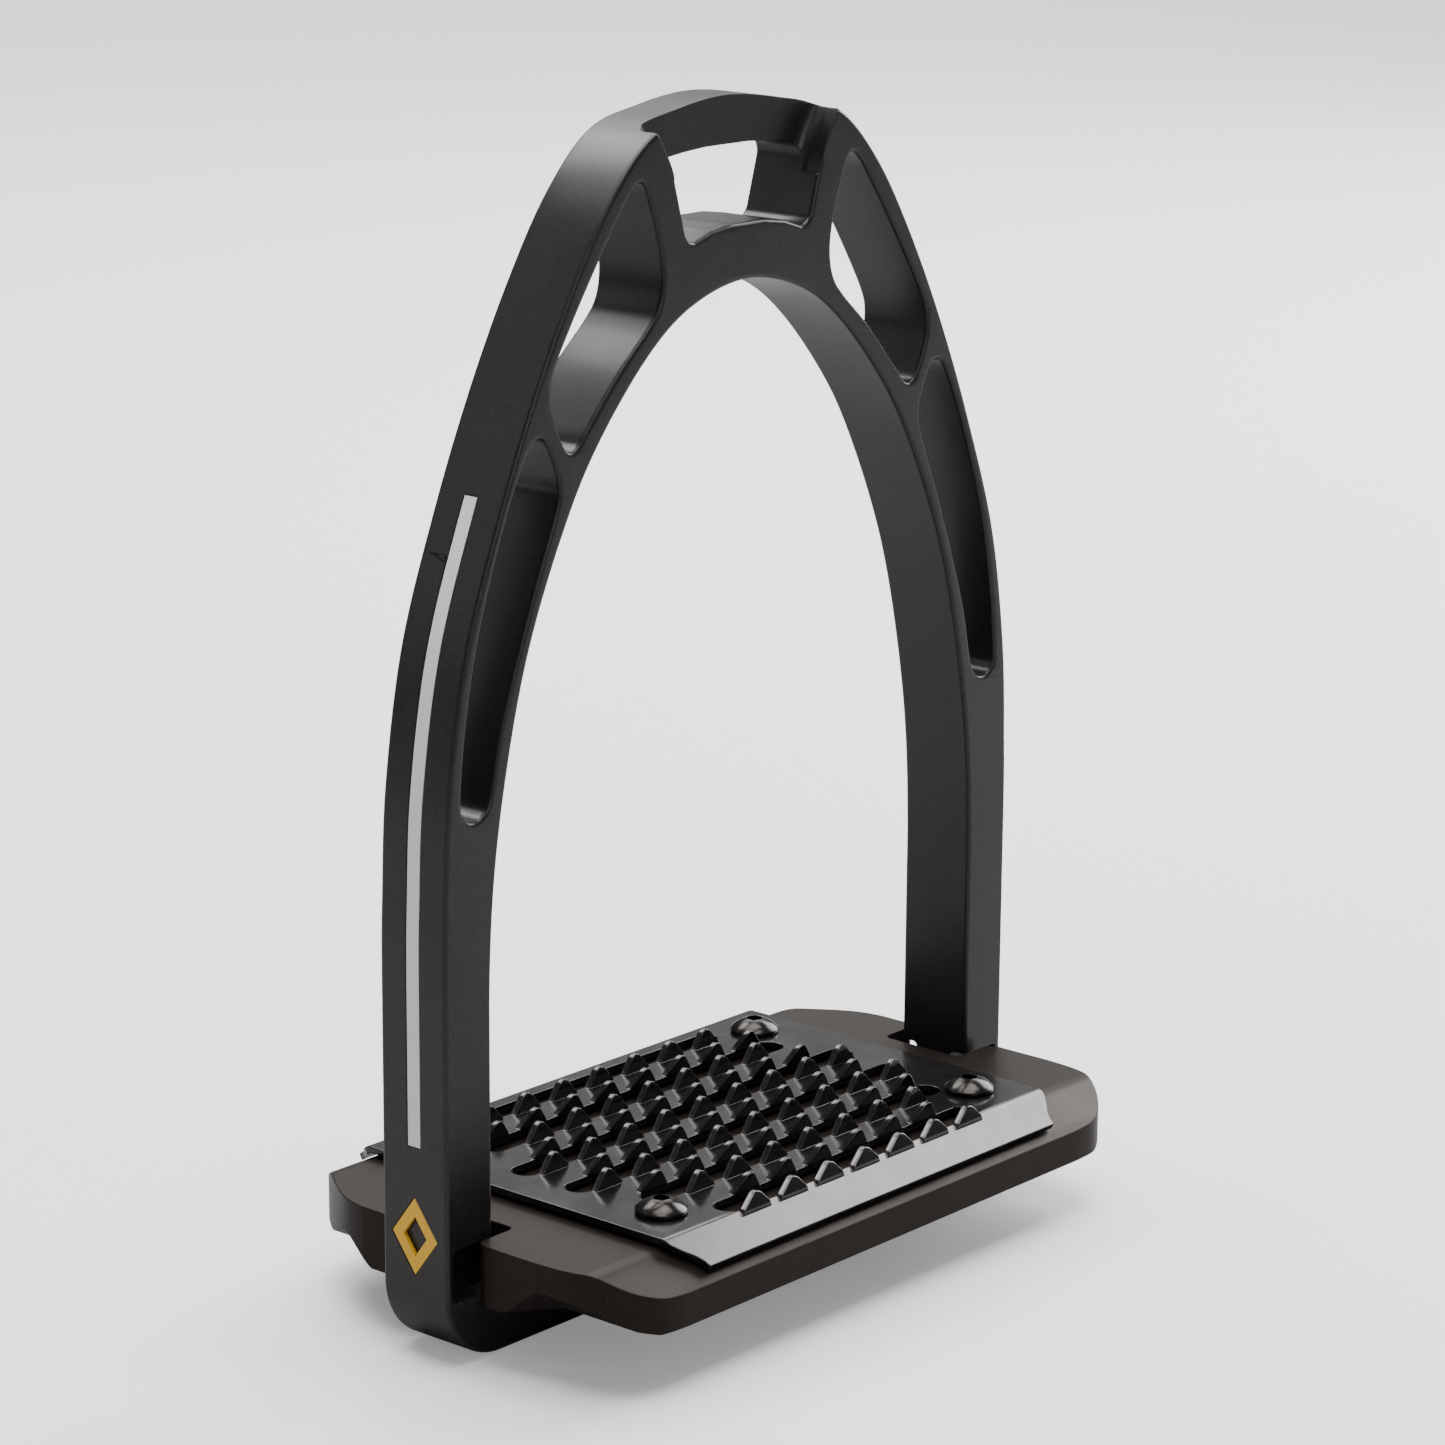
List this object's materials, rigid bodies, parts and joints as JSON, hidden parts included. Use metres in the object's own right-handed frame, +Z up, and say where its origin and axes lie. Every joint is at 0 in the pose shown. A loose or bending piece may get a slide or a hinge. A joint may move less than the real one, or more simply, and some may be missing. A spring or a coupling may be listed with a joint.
{
  "type": "stirrup iron",
  "caption": "Riding stirrup iron: an arched open-work metal bow on a bottom bar, with a wide tread and a toothed metal grip plate for the boot sole.",
  "frame": {"origin": "on the ground under the middle of the bow's bottom bar, in the bow's middle plane", "axes": "+X across the bow from arm to arm, -Y out of the bow's front face towards the side the leather bar is set back from, +Z up from the bottom bar to the leather slot"},
  "size_m": [0.1404, 0.0784, 0.1921],
  "materials": {
    "bow_black": "satin black anodised",
    "tread_grey": "satin",
    "grip_black": "gloss",
    "screw_dark": "polished",
    "screw_black": "black oxide",
    "strip_reflective": "reflective film",
    "emblem_gold": "gold"
  },
  "bodies": {
    "root": {"bow": "bow_black", "tread_base": "tread_grey", "grip_plate": "grip_black", "grip_screw_front_left": "screw_dark", "grip_screw_front_right": "screw_dark", "grip_screw_back_left": "screw_dark", "grip_screw_back_right": "screw_dark", "tread_screw_left": "screw_black", "tread_screw_right": "screw_black", "reflective_strip_left": "strip_reflective", "reflective_strip_right": "strip_reflective", "emblem_left": "emblem_gold", "emblem_right": "emblem_gold"}
  },
  "joints": []
}
